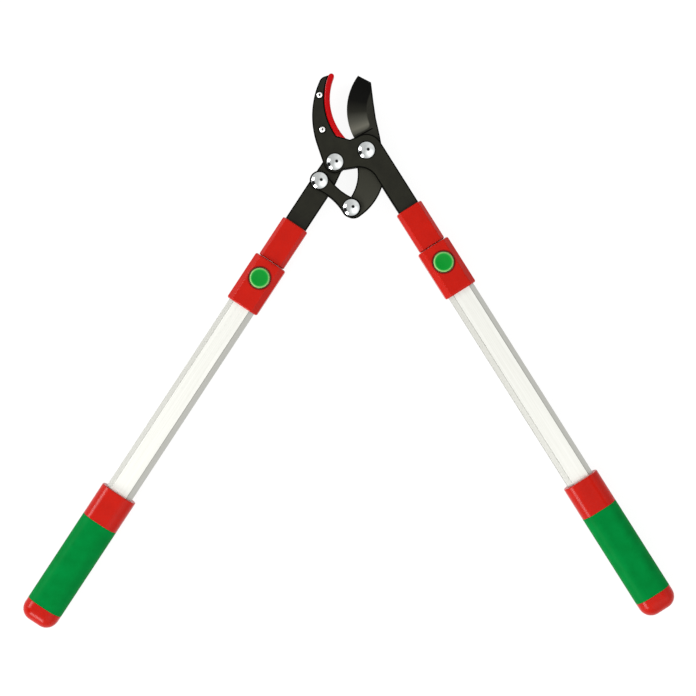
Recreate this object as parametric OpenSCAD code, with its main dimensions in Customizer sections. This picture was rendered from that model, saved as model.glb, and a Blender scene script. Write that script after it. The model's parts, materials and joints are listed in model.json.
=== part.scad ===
// Anvil lopper with a compound linkage and telescopic handles, lying flat, in millimetres.
// The blade pivot is the head's own origin: X to the right arm, Y to the jaws, Z to the bolt heads.

/* [Linkage] */
// Distance from the blade pivot to the arm pivot
pivot_span = 35.3; // [33:0.1:38]
// Slope of the line from the blade pivot down to the arm pivot, in degrees
pivot_slope = 20.5; // [17:0.5:24]
// Distance from the arm pivot to the link pin in the left arm
crank_len = 25.3; // [24:0.1:27]
// Lead of the link pin outside the left handle's axis, in degrees
crank_lead = 6.5; // [3:0.5:9]
// Distance between the two pins of the link
link_len = 43.8; // [42:0.1:46]
// Distance from the blade pivot to the link pin in the blade's tail
tail_len = 62.2; // [60:0.1:65]
// Angle through which the left arm closes, in degrees
arm_close = 46; // [40:1:48]
// Angle of the left handle from the head's axis, in degrees
left_angle = 33.3; // [30:0.1:36]
// Angle of the right handle from the head's axis, in degrees
right_angle = 32.3; // [29:0.1:35]

/* [Pivot bolts] */
// Radius of a bolt's shank
pin_r = 4; // [3.5:0.1:4.5]
// Radial clearance of a turning part on a shank
pin_play = 0.06; // [0.02:0.01:0.1]
// Extra radius of the slack hole in the blade's tail
tail_slack = 3.2; // [3:0.1:3.5]
// Radius of a bolt's domed head
head_r = 8.6; // [7.5:0.1:9.5]
// Height of a bolt's domed head
head_h = 3; // [2:0.1:4]
// Width of a nut across its flats
nut_af = 13; // [12:0.5:15]
// Height of a nut
nut_h = 8; // [6:0.5:9]
// Length of shank that stands out of a nut
bolt_tail = 1.8; // [0.5:0.1:3]

/* [Jaw plates] */
// Thickness of each jaw plate and of each link
plate_t = 3; // [2:0.1:4]
// Space between the two jaw plates
plate_gap = 5.4; // [5.3:0.1:7]
// Radius of the plate around the blade pivot
blade_lobe_r = 17; // [15:0.1:18]
// Radius of the plate around the arm pivot
arm_lobe_r = 11.9; // [10.5:0.1:12.5]
// Radius of the hook's outer edge
hook_r = 89.2; // [88:0.1:91]
// Direction that the straight edge of the hook's root faces, in degrees
hook_root_dir = 198.8; // [196:0.1:201]
// Radius of the rounding at the hook's tip
hook_tip_r = 8.5; // [7:0.1:9]
// Depth of that rounding's centre inside the back of the pad
hook_tip_in = 1.2; // [0.8:0.1:1.6]
// Direction of that rounding from the centre of the pad's face, in degrees
hook_tip_dir = 166.9; // [166:0.1:168]
// Depth of the web below the blade pivot
web_depth = 16.6; // [15:0.1:18]
// Slope of the web's lower edge, in degrees
web_tilt = 8.5; // [5:0.5:12]
// Radius of the arch from the web into the right arm
web_arch_r = 20.9; // [15:0.1:25]
// Width of the right arm
right_arm_w = 23.6; // [22:0.1:26]
// Length of the right arm from the blade pivot to its sleeve
right_reach = 74.8; // [72:0.1:85]
// Length of the spacer bar above the right sleeve
spacer_out = 9; // [4:0.5:10]

/* [Anvil pad] */
// Radius of the pad's hollow cutting face
pad_face_r = 61.2; // [60:0.1:63]
// Centre of the cutting face, to the right of the blade pivot
pad_x = 22.9; // [22:0.1:24]
// Centre of the cutting face, above the blade pivot
pad_y = 54.1; // [53:0.1:55]
// Thickness of the pad in front of the hook
pad_t = 5.8; // [5:0.1:6.5]
// Width of the pad across the two plates
pad_w = 12.4; // [11.5:0.1:15]
// Direction of the pad's tip from the centre of its face, in degrees
pad_tip_angle = 158.7; // [157:0.1:161]
// Direction where the pad's back starts to thin, in degrees
pad_thin_angle = 216; // [213:1:218]
// Direction of the pad's thin lower end, in degrees
pad_heel_angle = 223; // [221:1:224]
// Rim of the hook plates outside the pad's tongue
tongue_rim = 1.8; // [1.4:0.1:2.2]
// Radius of a pad rivet's shank
rivet_r = 2; // [1.5:0.1:2.2]
// Radius of a pad rivet's head
rivet_head_r = 2.9; // [2.6:0.1:3.3]
// Height of a pad rivet's head
rivet_head_h = 1; // [0.6:0.1:1.5]
// Radius of the hollow through a pad rivet
rivet_hole_r = 1.2; // [0.8:0.1:1.4]

/* [Blade] */
// Thickness of the blade
blade_t = 4; // [3:0.1:4.6]
// Gap left between the closed blade and the pad
close_gap = 0.4; // [0.3:0.05:1]
// Direction of the blade's tip from the centre of its edge, in degrees
edge_tip_angle = 143.8; // [142:0.1:146]
// Length of the square top of the blade
blade_top_w = 15.5; // [13:0.1:17]
// Slope of the top of the blade, in degrees
blade_top_slope = 28; // [22:1:34]
// Width of the ground bevel behind the edge
bevel_w = 21; // [12:0.5:22]
// Thickness of the cutting edge itself
edge_t = 0.4; // [0.2:0.1:0.8]
// Radius of the blade around its pivot
blade_hub_r = 16; // [14:0.1:16.5]
// Radius of the tail's round end
tail_lobe_r = 11.3; // [10.8:0.1:11.9]
// Distance of that round end's centre to the right of the link pin
tail_lobe_off = 2.2; // [1.5:0.1:2.5]
// Radius of the tail's swept outer edge
tail_outer_r = 60.2; // [58:0.1:64]
// Direction from the round end to the centre of the outer edge, in degrees
tail_outer_dir = 123.5; // [121:0.5:126]
// Radius of the tail's hollow inner edge
tail_inner_r = 44.1; // [43:0.1:46]
// Distance from the link pin to the centre of the inner edge
tail_inner_d = 51.6; // [50:0.1:52.5]
// Direction from the link pin to the centre of the inner edge, in degrees
tail_inner_dir = 136.3; // [135:0.5:138]
// Outer radius of the washers beside the blade
washer_r = 9; // [7:0.5:11]

/* [Left arm and link] */
// Thickness of the left arm
arm_t = 5; // [4:0.1:5.2]
// Width of the left arm
arm_w = 25; // [23:0.1:26]
// Radius of the arm around its pivot
arm_end_r = 10.6; // [8.5:0.1:11]
// Length of the arm from its pivot to its sleeve
left_reach = 77.4; // [74:0.1:88]
// Distance of the arm pivot outside the left handle's axis
left_offset = 1.5; // [0:0.1:2.5]
// Radius of the link's ends
link_end_r = 10.2; // [9.5:0.1:11]
// Width of the link at its waist
link_waist = 13; // [11:0.1:15]

/* [Arm ends] */
// Width of the tang at the end of each arm
tang_w = 16; // [12:0.5:17]
// Depth to which each arm enters its sleeve at full width
shoulder_in = 8; // [5:0.5:11]
// Depth of the tang's end below the top of the sleeve
tang_in = 40; // [36:1:44]
// Radius of the rivets through a tang
tang_rivet_r = 2.5; // [2:0.1:3]

/* [Upper sleeve] */
// Length of the sleeve
sleeve_len = 46.5; // [44:0.1:60]
// Width of the sleeve
sleeve_w = 30; // [29:0.1:33]
// Thickness of the sleeve
sleeve_t = 22; // [20:0.1:24]
// Width of the sleeve's corner facets, seen from above
sleeve_facet_w = 4; // [2:0.1:5]
// Height of the sleeve's corner facets
sleeve_facet_t = 6; // [3:0.1:7]
// Depth of the sleeve's block above the inner tube
sleeve_block = 14; // [12:0.5:17]

/* [Tubes] */
// Width of the outer tube
tube_w = 30; // [28:0.1:31]
// Thickness of the outer tube
tube_t = 20; // [19.5:0.1:21]
// Wall of the outer tube
tube_wall = 1.5; // [1.2:0.1:1.8]
// Width of the tubes' corner facets, seen from above
facet_w = 5.3; // [4:0.1:6]
// Height of the tubes' corner facets
facet_t = 5.5; // [4:0.1:6]
// Gap between the inner and the outer tube
slide_gap = 0.3; // [0.2:0.05:0.5]
// Wall of the inner tube
inner_wall = 1.3; // [1:0.1:1.6]
// Length of the outer tube
tube_len = 401.5; // [390:0.5:450]
// Room between the guide plug and the grip's cap when a handle is pushed in
plug_room = 20.4; // [15:0.1:25]
// Length of the inner tube below its last lock hole
stop_margin = 49; // [45:0.5:60]
// Number of lock holes along the stroke
lock_stops = 5; // [3:1:7]
// Length of the guide plug's collar
plug_collar = 6; // [4:0.5:8]
// Length of the guide plug's stem
plug_stem = 20; // [12:1:24]

/* [Lock] */
// Gap between the sleeve and the lock housing
lock_gap = 0.4; // [0.3:0.1:3]
// Length of the lock housing
lock_len = 55.7; // [54.5:0.1:64]
// Width of the lock housing
lock_w = 36.3; // [35:0.1:39]
// Thickness of the lock housing
lock_t = 29; // [28.6:0.1:30.5]
// Front wall of the lock housing
lock_wall = 2; // [1.6:0.1:2.2]
// Width of the housing's corner facets, seen from above
lock_facet_w = 6; // [4:0.1:7]
// Height of the housing's corner facets
lock_facet_t = 7; // [5:0.1:8]
// Depth of the outer tube's end below the top of the housing
tube_in = 34.5; // [34:0.1:37]
// Distance of the button from the top of the housing
button_at = 20.6; // [20.2:0.1:21]
// Radius of the button
button_r = 10.5; // [9:0.1:11]
// Height of the button above the housing
button_rise = 1.7; // [1:0.1:2.5]
// Rounding of the button's rim
button_round = 1.6; // [1:0.1:1.7]
// Depth of the hollow in the button's top
button_dish = 0.6; // [0.3:0.1:0.9]
// Ring of space around the button
button_ring = 0.8; // [0.4:0.1:0.9]
// Width of the button's hidden flange
button_lip = 1.5; // [1.3:0.1:1.7]
// Thickness of the button's hidden flange
button_lip_t = 1; // [0.8:0.1:1.2]
// Thickness of the lock spring's strip
leaf_t = 0.7; // [0.5:0.05:0.8]
// Width of the lock spring's strip
leaf_w = 9; // [8:0.5:11]
// Distance of the lock spring's nose from the top of the housing
nose_at = 44.6; // [43:0.1:46]
// Radius of the lock spring's nose
nose_r = 3.4; // [2.8:0.1:3.8]
// Play of the nose in a lock hole
nose_play = 0.3; // [0.2:0.05:0.5]
// Radius of a housing screw's shank
screw_r = 1.6; // [1.3:0.1:2]
// Radius of a housing screw's head
screw_head_r = 3; // [2.6:0.1:3.5]
// Height of a housing screw's head
screw_head_h = 1.6; // [1:0.1:2]
// Distance of each housing screw from the handle's axis
screw_off = 6; // [4:0.5:6.5]

/* [Grip] */
// Width of the grip
grip_w = 40; // [39:0.1:44]
// Thickness of the grip
grip_t = 31; // [30.6:0.1:36]
// Corner radius of the grip's section
grip_r = 13.5; // [11:0.1:14.5]
// Length of the red collar
collar_len = 37; // [30:0.5:40]
// Length of the soft sleeve
soft_len = 105; // [100:0.5:108]
// Thickness of the soft sleeve
soft_t = 3; // [2:0.1:3.2]
// Length of the domed end cap
cap_len = 20; // [17:0.1:24]
// Depth to which the outer tube enters the cap
tube_in_cap = 3.9; // [3:0.1:5]
// Length of the cap's plug inside the tube
cap_plug = 16; // [10:0.5:20]

/* [Hidden] */
$fn = 96;

// Overrun of every cut past the face that it opens
over = 1;
// Gap between pieces that are seated in each other
seat = 0.1;
// Running gap between pieces that slide past each other
run = 0.3;
// Straight steps in an arc that is drawn with points
arc_steps = 24;
// Facets of a sphere inside a hull
hull_fn = 32;

black = "#2d2e28";
red = "#cd1e16";
pad_red = "#b90a0c";
green = "#008837";
bright = "#dfe0dc";
steel = "#b8bab8";

function unit(a) = [cos(a), sin(a)];
function polar(r, a) = r * unit(a);
function turned(v, a) = [v.x * cos(a) - v.y * sin(a), v.x * sin(a) + v.y * cos(a)];
// Direction of a vector, from 0 to 360 degrees
function bearing(v) = (atan2(v.y, v.x) + 360) % 360;
function arc(c, r, a0, a1) = [for (i = [0:arc_steps]) c + polar(r, a0 + (a1 - a0) * i / arc_steps)];
// The same arc without its first point, which the outline already has
function onward(c, r, a0, a1) = [for (i = [1:arc_steps]) c + polar(r, a0 + (a1 - a0) * i / arc_steps)];
// Point at ra from a and rb from b, on the left (side 1) or right (side -1) of the way from a to b
function meet(a, ra, b, rb, side) =
    let (
        d = norm(b - a),
        u = (b - a) / d,
        ahead = (ra * ra - rb * rb + d * d) / (2 * d),
        aside = sqrt(ra * ra - ahead * ahead)
    )
    a + ahead * u + side * aside * [-u.y, u.x];

// Distance from p in direction a to the circle of radius r around c
function reach(p, a, c, r) =
    let (along = (c - p) * unit(a))
    along + sqrt(r * r - (c - p) * (c - p) + along * along);

// Pivots at rest: the blade pivot is the origin
blade_pivot = [0, 0];
arm_pivot = polar(pivot_span, 180 + pivot_slope);
crank_dir = 270 - left_angle - crank_lead;
arm_pin = arm_pivot + polar(crank_len, crank_dir);
tail_pin = meet(arm_pin, link_len, blade_pivot, tail_len, -1);
// Turn of the blade when the arm is closed
arm_pin_closed = arm_pivot + polar(crank_len, crank_dir + arm_close);
tail_pin_closed = meet(arm_pin_closed, link_len, blade_pivot, tail_len, -1);
blade_close = bearing(tail_pin_closed) - bearing(tail_pin);

// Layers, as heights above and below the middle plane
plate_in = plate_gap / 2;
plate_out = plate_in + plate_t;
nut_end = plate_out + nut_h;
bolt_end = nut_end + bolt_tail;
mid_z = max(bolt_end, grip_t / 2, lock_t / 2);

// Handles: local Y runs from the top of the sleeve down to the grip
left_dir = unit(270 - left_angle);
left_out = unit(180 - left_angle);
right_dir = unit(270 + right_angle);
right_out = unit(right_angle);
right_offset = blade_lobe_r - seat - right_arm_w / 2;
left_top = arm_pivot + left_reach * left_dir - left_offset * left_out;
right_top = right_reach * right_dir + right_offset * right_out;
lock_top = sleeve_len + lock_gap;
tube_start = lock_top + tube_in;
tube_end = tube_start + tube_len;
cap_top = tube_end - tube_in_cap;
soft_top = cap_top - soft_len;
grip_top = soft_top - collar_len;
handle_end = cap_top + cap_len;
inner_inset = tube_wall + slide_gap;
inner_half_t = tube_t / 2 - inner_inset;
inner_end = tube_end - cap_plug - plug_room - plug_collar;
tang_rivet_shares = [0.32, 0.74];

// Heights and places inside the lock
ceiling = lock_t / 2 - lock_wall;
button_top = lock_t / 2 + button_rise;
lip_base = ceiling - run - button_lip_t;
lip_r = button_r + button_lip;
button_h = button_top - lip_base;
crown_r = button_r - button_round;
dish_ball_r = (pow(crown_r - seat, 2) + pow(button_dish, 2)) / (2 * button_dish);
button_y = lock_top + button_at;
leaf_top = lip_base - run;
leaf_base = leaf_top - leaf_t;
leaf_start = button_y - leaf_w / 2;
nose_y = lock_top + nose_at;
fold_y = nose_y + nose_r + leaf_t;
fold_r = (ceiling - seat - leaf_base) / 2;
// Length by which a handle pulls out, from the first lock hole to the last
stroke = inner_end - stop_margin - nose_y;
stop_pitch = stroke / (lock_stops - 1);
screw_head_z = run - lock_t / 2;
tube_back_in = tube_wall - tube_t / 2;

// Anvil pad and blade edge: the edge is the pad's face turned back by the closing angle
pad_centre = [pad_x, pad_y];
pad_back_r = pad_face_r + pad_t;
pad_mid_r = pad_face_r + pad_t / 2;
edge_centre = turned(pad_centre, -blade_close);
edge_r = pad_face_r - close_gap;
// Directions from the centre of the edge where the edge ends and where its bevel starts and ends
edge_heel_angle = 214;
bevel_angles = [130, 209];
blade_tip = edge_centre + polar(edge_r, edge_tip_angle);
// Points of the blade's back, as shares of its reach
blade_back_shares = [[0.18, 0.187], [0.126, 0.426], [0.091, 0.665]];
tail_lobe = tail_pin + [tail_lobe_off, 0];
tail_outer_centre = tail_lobe + polar(tail_outer_r - tail_lobe_r + seat, tail_outer_dir);
tail_inner_centre = tail_pin + polar(tail_inner_d, tail_inner_dir);
// Directions from the centres of the tail's edges where those edges start and end
tail_inner_angles = [20, -36];
tail_outer_angles = [tail_outer_dir - 180, 8];

// Outline of the jaw plates
hook_inner_r = pad_back_r + seat;
hook_tip = pad_centre + polar(hook_inner_r - hook_tip_in, hook_tip_dir);
hook_nose = pad_centre + polar(hook_inner_r, pad_tip_angle) - hook_tip;
hook_nose_angle = bearing(hook_nose) + acos(hook_tip_r / norm(hook_nose));
// Outer edge: an arc from the rounding at the tip into the straight edge that touches the arm lobe
root_r = arm_lobe_r - seat;
root_out = (arm_pivot - hook_tip) * unit(hook_root_dir) + root_r;
hook_tip_angle = hook_root_dir - acos((hook_r - root_out) / (hook_r - hook_tip_r));
hook_centre = hook_tip - polar(hook_r - hook_tip_r, hook_tip_angle);
web_down = unit(web_tilt - 90);
web_foot = arm_pivot + (web_depth - arm_pivot * web_down) * web_down;
arch_web = web_depth + web_arch_r;
arch_arm = right_offset - right_arm_w / 2 + seat - web_arch_r;
arch_turn = web_down.x * right_out.y - web_down.y * right_out.x;
arch_centre = [
    (arch_web * right_out.y - arch_arm * web_down.y) / arch_turn,
    (arch_arm * web_down.x - arch_web * right_out.x) / arch_turn
];
// Corners of the throat between the jaws, as shares of the pivot lobe
throat_shares = [[-0.1, 0.98], [-0.82, 0.73], [-1.02, 0.64]];
throat = [for (s = throat_shares) blade_lobe_r * s];
hook_heel = pad_centre + polar(pad_face_r + seat, pad_heel_angle);
// Pad rivets: directions from the centre of the pad, and depths as shares of the hook's width there
rivet_angles = [177.2, 205.3];
rivet_depth_shares = [0.51, 0.49];
rivet_places = [
    for (i = [0, 1])
        let (hook_w = reach(pad_centre, rivet_angles[i], hook_centre, hook_r) - pad_back_r)
            pad_centre + polar(pad_back_r + hook_w * rivet_depth_shares[i], rivet_angles[i])
];
// Ends of the pad's tongue beyond its rivets, as directions from the centres of the pad and of the hook
tongue_ends = [rivet_angles[0] - 6, rivet_angles[1] + 4];
tongue_r = hook_r - tongue_rim;
tongue_angles = [
    for (a = tongue_ends)
        bearing(pad_centre + polar(reach(pad_centre, a, hook_centre, tongue_r), a) - hook_centre)
];

// Waist of the link: arcs that run just inside both of its round ends
waist_end_r = link_end_r - seat;
waist_r = (pow(link_len / 2, 2) + pow(link_waist / 2, 2) - pow(waist_end_r, 2))
    / (2 * waist_end_r - link_waist);
waist_turn = asin(link_len / 2 / (waist_end_r + waist_r));
waist_top = [link_len, link_waist + 2 * waist_r] / 2;
waist_low = [waist_top.x, -waist_top.y];

// Middle of the whole lopper, seen from above, which the origin lies under
grip_corners = [for (side = [-1, 1]) [side * (grip_w / 2 - grip_r), handle_end - grip_r]];
left_corners = [for (c = grip_corners) left_top + c.x * left_out + c.y * left_dir];
right_corners = [for (c = grip_corners) right_top + c.x * right_out + c.y * right_dir];
low_x = min([for (c = left_corners) c.x]) - grip_r;
high_x = max([for (c = right_corners) c.x]) + grip_r;
low_y = min([for (c = concat(left_corners, right_corners)) c.y]) - grip_r;
high_y = max(pad_y + pad_mid_r * sin(pad_tip_angle) + pad_t / 2, blade_tip.y);
head_place = -[low_x + high_x, low_y + high_y] / 2;

module at_head() translate([head_place.x, head_place.y, mid_z]) children();

module at_pin(p) translate([p.x, p.y, 0]) children();

// Flat piece of thickness t whose lower face is at height z
module layer(z, t) translate([0, 0, z]) linear_extrude(t) children();

module front_layer() at_head() layer(plate_in, plate_t) children();

module rear_layer() at_head() layer(-plate_out, plate_t) children();

module left_frame() at_pin(left_top) rotate(180 - left_angle) children();

module right_frame() at_pin(right_top) rotate(180 + right_angle) children();

module on_left() at_head() left_frame() children();

module on_right() at_head() right_frame() children();

// Section drawn out along the handle from y0 to y1
module drawn(y0, y1) translate([0, y0, 0]) rotate([-90, 0, 0]) linear_extrude(y1 - y0) children();

// Round bar or hole along Z at place (x, y), from z0 to z1
module round_bar(x, y, r, z0, z1) translate([x, y, z0]) cylinder(r = r, h = z1 - z0);

// Rectangle with its corners cut to facets fw wide and ft high
module faceted_section(w, t, fw, ft) {
    x = w / 2;
    y = t / 2;
    polygon([
        [x, ft - y], [x, y - ft], [x - fw, y], [fw - x, y],
        [-x, y - ft], [-x, ft - y], [fw - x, -y], [x - fw, -y]
    ]);
}

// Section of the outer tube drawn in by inset, with its facets kept parallel
module tube_section(inset) {
    shrink = inset * (facet_w + facet_t - norm([facet_w, facet_t]));
    faceted_section(
        tube_w - 2 * inset,
        tube_t - 2 * inset,
        facet_w - shrink / facet_t,
        facet_t - shrink / facet_w
    );
}

module rounded_section(w, t, r) {
    square([w - 2 * r, t], center = true);
    square([w, t - 2 * r], center = true);
    for (x = [-1, 1], y = [-1, 1])
        translate([x * (w / 2 - r), y * (t / 2 - r)])
            circle(r);
}

// Low dome of radius r and height h, standing on the plane
module dome(r, h) {
    ball_r = (r * r + h * h) / (2 * h);
    rotate_extrude()
        intersection() {
            translate([0, h - ball_r])
                circle(ball_r);
            square([r, h]);
        }
}

// Tang that an arm pushes into its sleeve and inner tube
module tang_outline() translate([-tang_w / 2, 0]) square([tang_w, tang_in]);

module tang_rivet_places()
    for (s = tang_rivet_shares)
        translate([0, sleeve_block + s * (tang_in - sleeve_block)])
            children();

// Right arm with its tang, over the last length out of the sleeve
module right_arm_outline(length)
    right_frame() {
        translate([-right_arm_w / 2, -length])
            square([right_arm_w, length + shoulder_in]);
        tang_outline();
    }

module right_rivet_holes()
    right_frame()
        tang_rivet_places()
            circle(tang_rivet_r + pin_play);

module jaw_outline()
    difference() {
        union() {
            polygon(concat(
                arc(hook_tip, hook_tip_r, hook_nose_angle, hook_tip_angle),
                onward(hook_centre, hook_r, hook_tip_angle, hook_root_dir),
                [arm_pivot + polar(root_r, hook_root_dir), arm_pivot, web_foot],
                arc(arch_centre, web_arch_r, bearing(-web_down), right_angle),
                [blade_pivot],
                throat,
                [hook_heel],
                arc(pad_centre, hook_inner_r, pad_thin_angle, pad_tip_angle)
            ));
            at_pin(arm_pivot)
                circle(arm_lobe_r);
            circle(blade_lobe_r);
            right_arm_outline(right_reach);
        }
        for (p = [blade_pivot, arm_pivot])
            at_pin(p)
                circle(pin_r + pin_play);
        for (p = rivet_places)
            at_pin(p)
                circle(rivet_r + pin_play);
        right_rivet_holes();
    }

module jaw_front() color(black) front_layer() jaw_outline();

module jaw_rear() color(black) rear_layer() jaw_outline();

// Bar that keeps the two plates apart inside the right sleeve
module arm_spacer()
    color(black) at_head()
        layer(-plate_in, plate_gap)
            difference() {
                right_arm_outline(spacer_out);
                right_rivet_holes();
            }

module pad_outline() {
    polygon(concat(
        arc(pad_centre, pad_back_r, pad_tip_angle, pad_thin_angle),
        arc(pad_centre, pad_face_r, pad_heel_angle, pad_tip_angle)
    ));
    at_pin(pad_centre + polar(pad_mid_r, pad_tip_angle))
        circle(pad_t / 2);
}

// Tongue of the pad between the hook plates, which keeps them apart
module tongue_outline()
    difference() {
        polygon(concat(
            arc(hook_centre, tongue_r, tongue_angles[0], tongue_angles[1]),
            arc(pad_centre, pad_mid_r, tongue_ends[1], tongue_ends[0])
        ));
        for (p = rivet_places)
            at_pin(p)
                circle(rivet_r + pin_play);
    }

module anvil_pad()
    color(pad_red) at_head() {
        layer(-pad_w / 2, pad_w)
            pad_outline();
        layer(seat - plate_in, plate_gap - 2 * seat)
            tongue_outline();
    }

// Hollow rivets that hold the pad's tongue between the plates
module anvil_rivets()
    color(steel) at_head()
        for (p = rivet_places)
            at_pin(p)
                difference() {
                    union() {
                        round_bar(0, 0, rivet_r, -plate_out, plate_out);
                        for (turn = [0, 180])
                            rotate([turn, 0, 0])
                                translate([0, 0, plate_out])
                                    dome(rivet_head_r, rivet_head_h);
                    }
                    round_bar(0, 0, rivet_hole_r, -mid_z, mid_z);
                }

// Blade and its swept tail, in one plate
module blade_outline()
    difference() {
        union() {
            polygon(concat(
                arc(edge_centre, edge_r, edge_tip_angle, edge_heel_angle),
                arc(tail_inner_centre, tail_inner_r, tail_inner_angles[0], tail_inner_angles[1]),
                [tail_lobe],
                arc(tail_outer_centre, tail_outer_r, tail_outer_angles[0], tail_outer_angles[1]),
                [for (s = blade_back_shares) norm(blade_tip) * s],
                [blade_tip + polar(blade_top_w, -blade_top_slope)]
            ));
            circle(blade_hub_r);
            at_pin(tail_lobe)
                circle(tail_lobe_r);
        }
        circle(pin_r + pin_play);
        at_pin(tail_pin)
            circle(pin_r + tail_slack);
    }

// Ring that grinds one side of the blade down to its edge
module bevel_cut() {
    slope = (blade_t - edge_t) / 2 / bevel_w;
    at_pin(edge_centre)
        rotate(bevel_angles[0])
            rotate_extrude(angle = bevel_angles[1] - bevel_angles[0])
                polygon([
                    [edge_r - bevel_w, blade_t / 2],
                    [edge_r + over, edge_t / 2 - slope * over],
                    [edge_r + over, blade_t / 2 + over],
                    [edge_r - bevel_w, blade_t / 2 + over]
                ]);
}

module blade()
    color(black) at_head()
        difference() {
            layer(-blade_t / 2, blade_t)
                blade_outline();
            bevel_cut();
            mirror([0, 0, 1])
                bevel_cut();
        }

module blade_washers()
    color(steel) at_head()
        for (z = [blade_t / 2 + seat / 2, seat / 2 - plate_in])
            layer(z, plate_in - blade_t / 2 - seat)
                difference() {
                    circle(washer_r);
                    circle(pin_r + pin_play);
                }

module left_arm_outline()
    difference() {
        union() {
            at_pin(arm_pivot)
                circle(arm_end_r);
            left_frame() {
                polygon([
                    [-arm_w / 2, shoulder_in],
                    [-arm_w / 2, crank_len - left_reach],
                    [left_offset - arm_end_r + seat, -left_reach],
                    [left_offset + arm_end_r - seat, -left_reach],
                    [arm_w / 2, crank_len - left_reach],
                    [arm_w / 2, shoulder_in]
                ]);
                tang_outline();
            }
        }
        for (p = [arm_pivot, arm_pin])
            at_pin(p)
                circle(pin_r + pin_play);
        left_frame()
            tang_rivet_places()
                circle(tang_rivet_r + pin_play);
    }

module left_arm() color(black) at_head() layer(-arm_t / 2, arm_t) left_arm_outline();

// Link with two round ends and a drawn-in waist
module link_outline()
    at_pin(arm_pin)
        rotate(bearing(tail_pin - arm_pin))
            difference() {
                union() {
                    polygon(concat(
                        arc(waist_low, waist_r, 90 + waist_turn, 90 - waist_turn),
                        [[link_len, 0]],
                        arc(waist_top, waist_r, 270 + waist_turn, 270 - waist_turn),
                        [[0, 0]]
                    ));
                    for (x = [0, link_len])
                        translate([x, 0])
                            circle(link_end_r);
                }
                for (x = [0, link_len])
                    translate([x, 0])
                        circle(pin_r + pin_play);
            }

module link_front() color(black) front_layer() link_outline();

module link_rear() color(black) rear_layer() link_outline();

// Round-headed bolt through the head at pivot p
module bolt(p)
    color(bright) at_head() at_pin(p) {
        round_bar(0, 0, pin_r, -bolt_end, plate_out);
        translate([0, 0, plate_out])
            dome(head_r, head_h);
    }

module nut(p)
    color(steel) at_head() at_pin(p)
        layer(-nut_end, nut_h)
            difference() {
                circle(nut_af / 2 / cos(30), $fn = 6);
                circle(pin_r + pin_play);
            }

module blade_bolt() bolt(blade_pivot);

module arm_bolt() bolt(arm_pivot);

module link_arm_bolt() bolt(arm_pin);

module link_blade_bolt() bolt(tail_pin);

module jaw_nuts() for (p = [blade_pivot, arm_pivot]) nut(p);

module link_arm_nut() nut(arm_pin);

module link_blade_nut() nut(tail_pin);

// Upper sleeve, with a slot for an arm of the given width and thickness
module sleeve(w, t)
    color(red)
        difference() {
            drawn(0, sleeve_len)
                faceted_section(sleeve_w, sleeve_t, sleeve_facet_w, sleeve_facet_t);
            drawn(-over, sleeve_block + over)
                square([w + 2 * seat, t + 2 * seat], center = true);
            drawn(sleeve_block, sleeve_len + over)
                tube_section(inner_inset - seat);
        }

module left_sleeve() on_left() sleeve(arm_w, arm_t);

module right_sleeve() on_right() sleeve(right_arm_w, 2 * plate_out);

// Inner tube with its row of lock holes
module inner_tube()
    color(bright)
        difference() {
            drawn(sleeve_block + seat, inner_end)
                difference() {
                    tube_section(inner_inset);
                    tube_section(inner_inset + inner_wall);
                }
            for (i = [0:lock_stops - 1])
                round_bar(0, nose_y + i * stop_pitch, nose_r + nose_play, 0, tube_t);
            tang_rivet_places()
                round_bar(0, 0, tang_rivet_r + pin_play, -tube_t, tube_t);
        }

module left_inner_tube() on_left() inner_tube();

module right_inner_tube() on_right() inner_tube();

module tang_rivets()
    color(steel)
        tang_rivet_places()
            round_bar(0, 0, tang_rivet_r, -inner_half_t, inner_half_t);

module left_tang_rivets() on_left() tang_rivets();

module right_tang_rivets() on_right() tang_rivets();

// Plug that closes the inner tube and guides it in the outer one
module guide_plug()
    color("dimgray") {
        drawn(inner_end - plug_stem, inner_end + over)
            tube_section(inner_inset + inner_wall + seat);
        drawn(inner_end, inner_end + plug_collar)
            tube_section(tube_wall + slide_gap / 2);
    }

module left_guide_plug() on_left() guide_plug();

module right_guide_plug() on_right() guide_plug();

module screw_places()
    for (side = [-1, 1])
        translate([side * screw_off, nose_y])
            children();

module outer_tube()
    color(bright)
        difference() {
            drawn(tube_start, tube_end)
                difference() {
                    tube_section(0);
                    tube_section(tube_wall);
                }
            round_bar(0, nose_y, nose_r + 2 * nose_play, 0, tube_t);
            screw_places()
                round_bar(0, 0, screw_r + pin_play, -tube_t, 0);
        }

module left_outer_tube() on_left() outer_tube();

module right_outer_tube() on_right() outer_tube();

// Space inside the lock housing for the tubes, the button and its spring
module lock_hollow() {
    room = lip_r + run;
    channel = leaf_w / 2 + run;
    drawn(lock_top - over, tube_start + over)
        tube_section(tube_wall);
    drawn(tube_start - seat, lock_top + lock_len + over)
        tube_section(-seat);
    translate([-room, button_y - room, 0])
        cube([2 * room, 2 * room, ceiling]);
    translate([-channel, button_y, 0])
        cube([2 * channel, fold_y + fold_r + run - button_y, ceiling]);
    round_bar(0, button_y, button_r + button_ring, 0, lock_t);
    screw_places() {
        round_bar(0, 0, screw_r + pin_play, -lock_t, 0);
        round_bar(0, 0, screw_head_r + seat, -lock_t, screw_head_z + screw_head_h);
    }
}

module lock_housing()
    color(red)
        difference() {
            drawn(lock_top, lock_top + lock_len)
                faceted_section(lock_w, lock_t, lock_facet_w, lock_facet_t);
            lock_hollow();
        }

module left_lock_housing() on_left() lock_housing();

module right_lock_housing() on_right() lock_housing();

// Push button with a hidden flange that keeps it in the housing
module button()
    color(green)
        translate([0, button_y, lip_base])
            rotate_extrude()
                difference() {
                    union() {
                        square([lip_r, button_lip_t]);
                        square([crown_r, button_h]);
                        square([button_r, button_h - button_round]);
                        translate([crown_r, button_h - button_round])
                            circle(button_round);
                    }
                    translate([0, button_h - button_dish + dish_ball_r])
                        circle(dish_ball_r);
                }

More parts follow.
